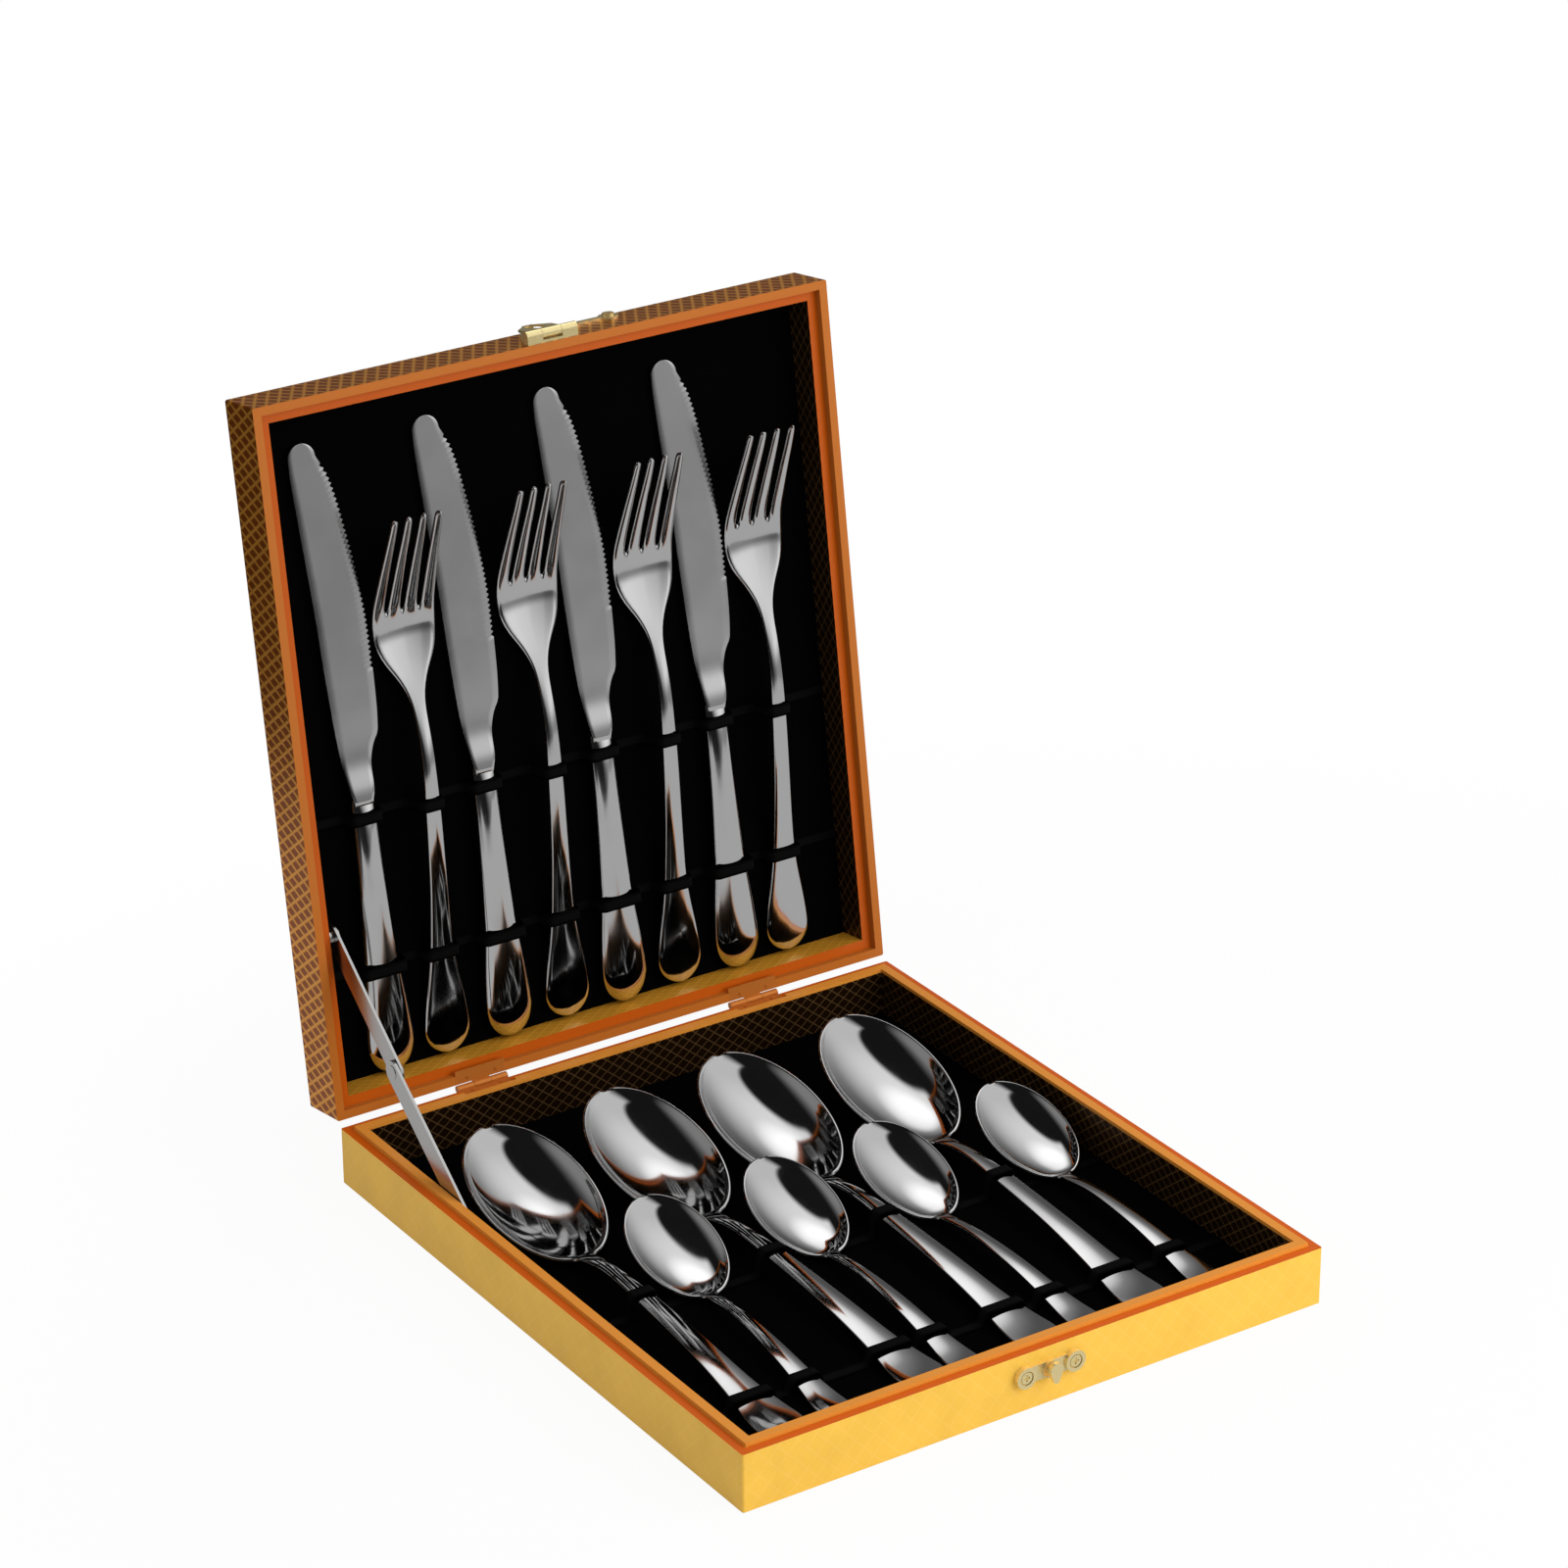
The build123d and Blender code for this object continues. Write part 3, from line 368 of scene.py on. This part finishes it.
def spoon(name, size):
    half = size["bowlLength"] / 2
    pitch = math.radians(size["pitch"])
    reach = half * math.cos(pitch)
    rimHeight = math.hypot(size["rimRise"] * math.cos(pitch), half * math.sin(pitch))
    centre = size["length"] - reach
    neck = centre - reach
    handleRows = endRows(size["cap"], 6)
    steps = 22
    handleRows += [size["cap"] + (neck - 1.5 - size["cap"]) * n / steps for n in range(steps + 1)]
    turns = [0.2 + (math.pi - 0.08 - 0.2) * n / 30 for n in range(31)]
    alongRows = handleRows + [centre - reach * math.cos(turn) for turn in turns]
    columns = 16

    def spot(column, row):
        s = alongRows[row]
        u = 2 * column / columns - 1
        u = math.sin(u * math.pi / 2) * 0.7 + u * 0.3
        t = min(max((s - centre) / reach, -1), 1)
        bowlHalf = size["bowlWidth"] / 2 * math.sqrt(1 - t * t)
        handleHalf = capWidth(size["widths"], size["cap"], s) if s < size["widths"][-1][0] else 0
        halfWidth = (bowlHalf ** 2.5 + handleHalf ** 2.5) ** 0.4
        blend = ease((s - neck + 7) / 14)
        handleTop = smoothAt(size["under"], s) + size["stock"]
        rimTop = rimHeight + (s - centre) * math.tan(pitch)
        dip = size["bowlDepth"] * ((1 - t * t) * (1 - u * u)) ** 0.55
        crown = size["crown"] * (1 - u * u) * (1 - blend)
        return (u * halfWidth, s, handleTop * (1 - blend) + rimTop * blend - dip + crown)

    piece = gridPiece(name, columns, len(alongRows) - 1, spot)
    uvAlong(piece, size["length"])
    thicken(piece, size["sheet"])
    return piece


fork = {"length": 207.0, "stock": 2.2, "sheet": 1.9, "cap": 10.0, "crown": 0.5, "dish": 1.0,
        "widths": [(10, 9.8), (20, 8.5), (37, 5.5), (60, 4.0), (96, 3.2), (127, 2.6), (138, 3.3), (146, 6.8),
                   (153, 11.2), (160, 12.8), (168, 12.9), (185, 11.6), (207, 10.0)],
        "under": [(0, 1.2), (39, 3.5), (70, 6.4), (96, 8.0), (118, 8.0), (135, 5.2), (150, 1.6), (158, 0.4),
                  (162, 0.1), (168, 0.8), (172, 2.1), (180, 5.9), (190, 10.9), (200, 16.1), (207, 19.5)],
        "slotRoot": 170.0, "tineRoot": 5.4, "tineTip": 2.6}


def forkPiece(name):
    rootHalf = smoothAt(fork["widths"], fork["slotRoot"])
    tipHalf = fork["widths"][-1][1]
    rootGap = (2 * rootHalf - 4 * fork["tineRoot"]) / 3
    tipGap = (2 * tipHalf - 4 * fork["tineTip"]) / 3
    alongRows = endRows(fork["cap"], 6) + [fork["cap"] + (fork["slotRoot"] - fork["cap"]) * n / 34 for n in range(34)]
    alongRows += [fork["slotRoot"] + (fork["length"] - 0.4 - fork["slotRoot"]) * n / 12 for n in range(13)]
    alongRows.append(fork["length"])
    columns = 14  # four tines and three slots, two faces wide each
    rootRow = alongRows.index(fork["slotRoot"])

    def edgeAt(column, tine, gap, half):
        pairs, odd = divmod(column, 2)
        tines, gaps = (pairs + 1) // 2, pairs // 2
        start = tines * tine + gaps * gap - half
        return start + (tine if pairs % 2 == 0 else gap) / 2 * odd

    def spot(column, row):
        s = alongRows[row]
        toTip = max((s - fork["slotRoot"]) / (fork["length"] - fork["slotRoot"]), 0)
        rootX = edgeAt(column, fork["tineRoot"], rootGap, rootHalf)
        tipX = edgeAt(column, fork["tineTip"], tipGap, tipHalf)
        if toTip == 0:
            x = rootX / rootHalf * capWidth(fork["widths"], fork["cap"], s)
        else:
            x = rootX + (tipX - rootX) * toTip
        if row == len(alongRows) - 1:  # the tine's end draws in to a blunt point
            middle = edgeAt(column // 4 * 4 + 1, fork["tineTip"], tipGap, tipHalf)
            x = middle + (x - middle) * 0.45
        u = rootX / rootHalf
        dish = fork["dish"] * (1 - u * u) * ease((s - 140) / 25)
        crown = fork["crown"] * (1 - u * u) * (1 - ease((s - 110) / 30))
        return (x, s, smoothAt(fork["under"], s) + fork["stock"] - dish + crown)

    piece = gridPiece(name, columns, len(alongRows) - 1, spot)
    uvAlong(piece, fork["length"])
    slotFaces = []
    for face in piece.data.polygons:
        column, row = [min(v) for v in zip(*[gridPlace(i, columns) for i in face.vertices])]
        slotFaces.append(row >= rootRow and column % 4 >= 2)
    removeFaces(piece, slotFaces)
    thicken(piece, fork["sheet"])
    return piece


def gridPlace(index, columns):  # column and row of a point of a grid primitive
    return (index % (columns + 1), index // (columns + 1))


def removeFaces(piece, chosen):
    deselectAll()
    piece.select_set(True)
    bpy.context.view_layer.objects.active = piece
    bpy.ops.object.mode_set(mode="EDIT")
    bpy.ops.mesh.select_all(action="DESELECT")
    bpy.ops.object.mode_set(mode="OBJECT")
    for face, picked in zip(piece.data.polygons, chosen):
        face.select = picked
    bpy.ops.object.mode_set(mode="EDIT")
    bpy.ops.mesh.select_mode(type="FACE")
    bpy.ops.mesh.delete(type="FACE")
    bpy.ops.object.mode_set(mode="OBJECT")


knife = {"length": 238.5, "axis": 3.7, "cap": 12.0, "tubeEnd": 107.0,
         "halfWidths": [(12, 9.8), (25, 8.9), (43, 7.1), (76, 5.5), (96, 4.9), (102, 4.6), (107, 4.2)],
         "halfThick": [(12, 3.7), (25, 3.7), (43, 3.5), (76, 3.1), (96, 2.4), (102, 1.5), (107, 0.4)],
         "spine": [(103, -3.4), (108, -4.7), (114, -5.6), (128, -7.3), (153, -8.8), (175, -9.7),
                   (202, -11.3), (226, -12.7), (233, -12.7)],
         "edge": [(103, 3.4), (108, 4.7), (118, 5.3), (124.5, 7.2), (129, 9.6), (153, 10.6), (175, 10.2), (202, 6.9),
                  (224, 2.6), (233, -1.9)],
         "middle": [(103, 4.6), (109, 4.2), (117, 3.1), (124, 2.7), (140, 2.5), (238.5, 0.9)], "blade": 1.3,
         "tipFrom": 233.0, "tipMiddle": -7.3, "tipRadius": 5.4,
         "teethFrom": 152.0, "teethTo": 230.0, "tooth": 2.0, "bite": 1.1}


def knifeHandle(name):
    alongRows = endRows(knife["cap"], 7) + [knife["cap"] + (knife["tubeEnd"] - knife["cap"]) * n / 28 for n in range(29)]
    columns = 28

    def spot(column, row):
        s = alongRows[row]
        turn = -2 * math.pi * column / columns
        halfWidth = capWidth(knife["halfWidths"], knife["cap"], s)
        halfThick = capWidth(knife["halfThick"], knife["cap"], s)
        return (halfWidth * math.cos(turn), s, knife["axis"] + halfThick * math.sin(turn))

    piece = gridPiece(name, columns, len(alongRows) - 1, spot)
    uvAlong(piece, knife["length"])
    bpy.ops.object.mode_set(mode="EDIT")
    bpy.ops.mesh.select_all(action="SELECT")
    bpy.ops.mesh.remove_doubles(threshold=0.00001)
    bpy.ops.mesh.select_all(action="DESELECT")
    bpy.ops.mesh.select_non_manifold(extend=False)
    bpy.ops.mesh.edge_face_add()
    bpy.ops.mesh.select_all(action="SELECT")
    bpy.ops.mesh.normals_make_consistent(inside=False)
    bpy.ops.object.mode_set(mode="OBJECT")
    addModifier(piece, "SUBSURF", levels=1, render_levels=1)
    piece.data.shade_smooth()
    return piece


def knifeBlade(name):
    root = knife["spine"][0][0]
    rows = [root + (knife["teethFrom"] - root) * n / 28 for n in range(28)]
    teeth = round((knife["teethTo"] - knife["teethFrom"]) / knife["tooth"])
    rows += [knife["teethFrom"] + knife["tooth"] / 2 * n for n in range(2 * teeth + 1)]
    rows += [knife["tipFrom"] + knife["tipRadius"] * 0.996 * math.sin(math.pi / 2 * n / 9) for n in range(10)]
    columns = 6

    def spot(column, row):
        s = rows[row]
        left = smoothAt(knife["spine"], s)
        right = smoothAt(knife["edge"], s)
        step = round((s - knife["teethFrom"]) / knife["tooth"] * 2)
        if knife["teethFrom"] < s < knife["teethTo"] and step % 2:
            right -= knife["bite"]
        if s > knife["tipFrom"]:  # the round tip
            reach = math.sqrt(knife["tipRadius"] ** 2 - (s - knife["tipFrom"]) ** 2)
            left = knife["tipMiddle"] - reach
            right = knife["tipMiddle"] + reach
        x = left + (right - left) * column / columns
        return (x, s, smoothAt(knife["middle"], s) + knife["blade"] / 2)

    piece = gridPiece(name, columns, len(rows) - 1, spot)
    uvAlong(piece, knife["length"])
    addModifier(piece, "SOLIDIFY", thickness=knife["blade"] * mm, offset=-1)
    addModifier(piece, "BEVEL", width=0.0003, segments=2, limit_method="ANGLE", angle_limit=0.8)
    piece.data.shade_smooth()
    return piece


def knifePiece(name):
    handle = knifeHandle(name)
    blade = knifeBlade(name + "Blade")
    deselectAll()
    blade.select_set(True)
    handle.select_set(True)
    bpy.context.view_layer.objects.active = handle
    bpy.ops.object.join()
    return handle


def onBase(size, x, lean, end, rise=0):  # where a piece of the base lies: it leans about its bowl's middle
    half = size["bowlLength"] / 2
    bowlY = stow["front"] + end + size["length"] - half
    return (Matrix.Translation(Vector((x, bowlY, stow["seat"] + rise)) * mm)
            @ Matrix.Rotation(math.radians(-lean), 4, "Z")
            @ Matrix.Translation(Vector((0, half - size["length"], 0)) * mm))


def onLid(x, lean, end):  # the same for the lid, whose pieces hang from its ceiling when it's closed
    return (lidOpen @ Matrix.Translation(Vector((x, end + stow["front"], stow["ceiling"])) * mm)
            @ Matrix.Rotation(math.pi, 4, "X") @ Matrix.Rotation(math.radians(-lean), 4, "Z"))


def stowAll(draft, label, material, places):
    paint(draft, material)
    for number, matrix in enumerate(places, 1):
        node = "%s_%d" % (label, number)
        piece = copyOf(draft, node + "_polished")
        settle(piece, matrix)
        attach(piece, node)
        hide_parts(node)
    bpy.data.objects.remove(draft)


dinnerPlaces = [(-82.8, 1.4), (-31.7, -0.7), (17.3, -0.1), (70.1, 2.2)]
teaPlaces = [(-58.8, 3.9), (-8.6, 2.4), (38.6, 0.6), (92.6, 1.8)]
knifePlaces = [(-88.9, 0.0), (-38.5, 0.0), (11.9, 0.0), (62.3, 0.0)]
forkPlaces = [(-64.8, 0.5), (-13.0, 0.5), (36.7, 0.5), (85.6, 0.5)]
ends = {"dinner": 20.0, "tea": 21.0, "knife": 258.2, "fork": 257.5}  # mm behind the front face

stowAll(spoon("dinnerDraft", dinner), "dinner_spoon", mirrorSteel,
        [onBase(dinner, x, lean, ends["dinner"]) for x, lean in dinnerPlaces])
stowAll(spoon("teaDraft", tea), "teaspoon", mirrorSteel,
        [onBase(tea, x, lean, ends["tea"], stow["teaRise"]) for x, lean in teaPlaces])
stowAll(knifePiece("knifeDraft"), "table_knife", litSatinSteel,
        [onLid(x, lean, ends["knife"]) for x, lean in knifePlaces])
stowAll(forkPiece("forkDraft"), "table_fork", litForkSteel,
        [onLid(x, lean, ends["fork"]) for x, lean in forkPlaces])
print("cutlery laid out")

# Black elastic, stitched down at the walls and pulled over each handle; places in mm behind the front
band = {"reach": 112.8, "width": 4.5, "sheet": 0.5, "slope": 2.4, "clear": 0.45,
        "base": {"base_band_lower": 47.0, "base_band_upper": 118.0},
        "lid": {"lid_band_lower": 218.0, "lid_band_upper": 160.0}}


def handleHumps(bandY):  # across, half width and top of each handle under a band
    humps = []
    for size, places, end, rise in [(dinner, dinnerPlaces, "dinner", 0), (tea, teaPlaces, "tea", stow["teaRise"])]:
        s = bandY - ends[end]
        if s > size["length"] - size["bowlLength"] - 5:
            continue
        for x, lean in places:
            shift = (size["length"] - size["bowlLength"] / 2 - s) * math.tan(math.radians(lean))
            top = smoothAt(size["under"], s) + size["stock"] + size["crown"] + rise
            humps.append((x - shift, smoothAt(size["widths"], s), top))
    return humps


def lidHumps(bandY):
    humps = []
    s = ends["fork"] - bandY
    for x, lean in forkPlaces:
        top = smoothAt(fork["under"], s) + fork["stock"] + fork["crown"]
        humps.append((x + s * math.tan(math.radians(lean)), smoothAt(fork["widths"], s), top))
    s = ends["knife"] - bandY
    for x, lean in knifePlaces:
        top = knife["axis"] + smoothAt(knife["halfThick"], s)
        humps.append((x, smoothAt(knife["halfWidths"], s), top))
    return humps


def elasticBand(name, humps, matrix, body):
    columns = 300

    def spot(column, row):
        x = band["reach"] * (2 * column / columns - 1)
        heights = [(top + 0.3 + band["clear"]) * ease(1 - (abs(x - middle) - half - band["clear"]) / band["slope"])
                   for middle, half, top in humps]
        return (x, band["width"] * (row / 4 - 0.5), max(heights) + 0.05)

    piece = gridPiece(name + "_elastic", columns, 4, spot)
    addModifier(piece, "SOLIDIFY", thickness=band["sheet"] * mm, offset=1)
    piece.data.shade_smooth()
    settle(piece, matrix)
    paint(piece, elastic)
    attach(piece, body)
    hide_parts(name)


for name, bandY in band["base"].items():
    spotOnBase = Vector((0, stow["front"] + bandY, stow["seat"] - 0.3)) * mm
    elasticBand(name, handleHumps(bandY), Matrix.Translation(spotOnBase), "base")
for name, bandY in band["lid"].items():
    spotOnLid = Vector((0, stow["front"] + bandY, stow["ceiling"] + 0.3)) * mm
    elasticBand(name, lidHumps(bandY), lidOpen @ Matrix.Translation(spotOnLid) @ Matrix.Rotation(math.pi, 4, "X"),
                "lid")
print("bands stretched")


# A white board in a dark studio, lit by one broad softbox on the right
stage = {"board": (1.2, 1.2), "middle": (0.05, -0.15), "seen": 0.94, "mirrored": 0.5, "fade": (0.35, 0.58)}


def whiteBoard():
    # matt white laminate: pure white to the camera but for the shadow, and pale in the steel
    material, tree, shader = newMaterial("whiteLaminateBoard")
    shader.inputs["Base Color"].default_value = hexColour("#E6E6E6")
    shader.inputs["Roughness"].default_value = 0.9
    spot = addNode(tree, "ShaderNodeTexCoord").outputs["Object"]
    away = addNode(tree, "ShaderNodeVectorMath", {0: spot, 1: (*stage["middle"], 0)}, operation="DISTANCE")
    white = addNode(tree, "ShaderNodeMapRange",
                    {"Value": away.outputs["Value"], "From Min": stage["fade"][0], "From Max": stage["fade"][1],
                     "To Min": stage["seen"], "To Max": 1.0})
    ray = addNode(tree, "ShaderNodeLightPath")
    seen = addNode(tree, "ShaderNodeMath", {0: ray.outputs["Is Camera Ray"], 1: white.outputs[0]},
                   operation="MULTIPLY")
    mirrored = addNode(tree, "ShaderNodeMath", {0: ray.outputs["Is Glossy Ray"],
                                                1: ray.outputs["Is Transmission Ray"]}, operation="MAXIMUM")
    share = addNode(tree, "ShaderNodeMath", {0: mirrored.outputs[0], 1: seen.outputs[0]})
    level = addNode(tree, "ShaderNodeMapRange", {"Value": mirrored.outputs[0], "To Min": 1.0,
                                                 "To Max": stage["mirrored"]})
    glow = addNode(tree, "ShaderNodeEmission", {"Color": hexColour("#FFFFFF"), "Strength": level.outputs[0]})
    mix = addNode(tree, "ShaderNodeMixShader", {0: share.outputs[0], 1: shader.outputs[0], 2: glow.outputs[0]})
    tree.links.new(mix.outputs[0], tree.nodes["Material Output"].inputs["Surface"])
    return material


deselectAll()
bpy.ops.mesh.primitive_plane_add(size=1, location=(0, 0, 0))
board = bpy.context.active_object
board.name = "board"
settle(board, Matrix.Translation((*stage["middle"], 0)) @ Matrix.Diagonal((*stage["board"], 1, 1)))
paint(board, whiteBoard())

# What polished metal sees round the board, in degrees: 0 is the front, 90 the right, 180 the back
studio = {"nearEdge": (5, 38), "farEdge": (158, 176), "topEdge": (66, 71), "foot": (-6, 6),
          "side": (70, 130), "climb": (25, 60), "frontLevel": 0.9, "backLevel": (0.12, 1.3),
          "lamp": (140, 51), "lampSize": (16, 5), "lampLevel": 0.8,
          "reflector": (-112, 33), "reflectorSize": (45, 0), "reflectorLevel": 0.34,
          "room": 0.012, "daylight": 0.62}


def studioSky():
    world = bpy.data.worlds.new("studio")
    bpy.context.scene.world = world
    world.use_nodes = True
    tree = world.node_tree
    way = addNode(tree, "ShaderNodeTexCoord").outputs["Generated"]
    parts = addNode(tree, "ShaderNodeSeparateXYZ", {0: way})
    forward = addNode(tree, "ShaderNodeMath", {0: parts.outputs[1], 1: -1.0}, operation="MULTIPLY")
    azimuth = addNode(tree, "ShaderNodeMath", {0: parts.outputs[0], 1: forward.outputs[0]}, operation="ARCTAN2")
    elevation = addNode(tree, "ShaderNodeMath", {0: parts.outputs[2]}, operation="ARCSINE")
    ramps = {}
    for name, value, low, high in [("nearEdge", azimuth, 0, 1), ("farEdge", azimuth, 1, 0),
                                   ("topEdge", elevation, 1, 0), ("foot", elevation, 0.3, 1),
                                   ("side", azimuth, 0, 1), ("climb", elevation, *studio["backLevel"])]:
        start, end = [math.radians(angle) for angle in studio[name]]
        ramps[name] = addNode(tree, "ShaderNodeMapRange",
                              {"Value": value.outputs[0], "From Min": start, "From Max": end, "To Min": low,
                               "To Max": high}, interpolation_type="SMOOTHSTEP").outputs[0]
    level = addNode(tree, "ShaderNodeMix", {"Factor": ramps["side"], "A": studio["frontLevel"], "B": ramps["climb"]})
    total = level.outputs[0]
    for name in ["nearEdge", "farEdge", "topEdge", "foot"]:
        total = addNode(tree, "ShaderNodeMath", {0: total, 1: ramps[name]}, operation="MULTIPLY").outputs[0]
    for name in ["lamp", "reflector"]:
        turn, rise = [math.radians(angle) for angle in studio[name]]
        aim = (math.sin(turn) * math.cos(rise), -math.cos(turn) * math.cos(rise), math.sin(rise))
        towards = addNode(tree, "ShaderNodeVectorMath", {0: way, 1: aim}, operation="DOT_PRODUCT")
        start, end = [math.cos(math.radians(angle)) for angle in studio[name + "Size"]]
        spot = addNode(tree, "ShaderNodeMapRange",
                       {"Value": towards.outputs["Value"], "From Min": start, "From Max": end,
                        "To Max": studio[name + "Level"]}, interpolation_type="SMOOTHSTEP")
        total = addNode(tree, "ShaderNodeMath", {0: total, 1: spot.outputs[0]}).outputs[0]
    picture = addNode(tree, "ShaderNodeMath", {0: total, 1: studio["room"]})
    ray = addNode(tree, "ShaderNodeLightPath")
    mirrored = addNode(tree, "ShaderNodeMath", {0: ray.outputs["Is Glossy Ray"],
                                                1: ray.outputs["Is Transmission Ray"]}, operation="MAXIMUM")
    light = addNode(tree, "ShaderNodeMix", {"Factor": mirrored.outputs[0], "A": studio["daylight"],
                                            "B": picture.outputs[0]})
    strength = addNode(tree, "ShaderNodeMix", {"Factor": ray.outputs["Is Camera Ray"], "A": light.outputs[0],
                                               "B": 1.0})
    sky = tree.nodes["Background"]
    sky.inputs["Color"].default_value = hexColour("#FFFFFF")
    tree.links.new(strength.outputs[0], sky.inputs["Strength"])


studioSky()


def softbox(name, spot, aim, size, radiance):  # it lights the pieces; the steel sees it in the sky's picture
    light = bpy.data.lights.new(name, "AREA")
    light.shape = "RECTANGLE"
    light.size, light.size_y = size
    light.energy = radiance * math.pi * size[0] * size[1]
    lamp = bpy.data.objects.new(name, light)
    lamp.location = spot
    lamp.rotation_euler = (Vector(aim) - Vector(spot)).to_track_quat("-Z", "Y").to_euler()
    lamp.visible_glossy = False
    bpy.context.scene.collection.objects.link(lamp)


softbox("rightSoftbox", (0.5, -0.8, 0.5), (0, -0.05, 0.1), (1.2, 1.0), 2.8)
softbox("topSoftbox", (0.1, 0.1, 1.3), (0, 0, 0.1), (0.8, 0.8), 0.8)

view = {"target": (-0.02328, -0.013, 0.1902), "distance": 1.7494, "azimuth": -33.4479, "elevation": 24.8299,
        "roll": -0.2967, "lens": 119.355}
azimuth, elevation, roll = [math.radians(view[key]) for key in ["azimuth", "elevation", "roll"]]
back = Vector((math.sin(azimuth) * math.cos(elevation), -math.cos(azimuth) * math.cos(elevation),
               math.sin(elevation)))
side = (-back).cross(Vector((0, 0, 1))).normalized()
top = side.cross(-back)
right = side * math.cos(roll) + top * math.sin(roll)
up = top * math.cos(roll) - side * math.sin(roll)
camera = bpy.data.objects.new("camera", bpy.data.cameras.new("camera"))
camera.data.lens = view["lens"]
camera.data.sensor_width = 36
turn = Matrix((right, up, back)).transposed().to_4x4()
camera.matrix_world = Matrix.Translation(Vector(view["target"]) + back * view["distance"]) @ turn
bpy.context.scene.collection.objects.link(camera)
bpy.context.scene.camera = camera
bpy.context.scene.view_settings.view_transform = "Standard"
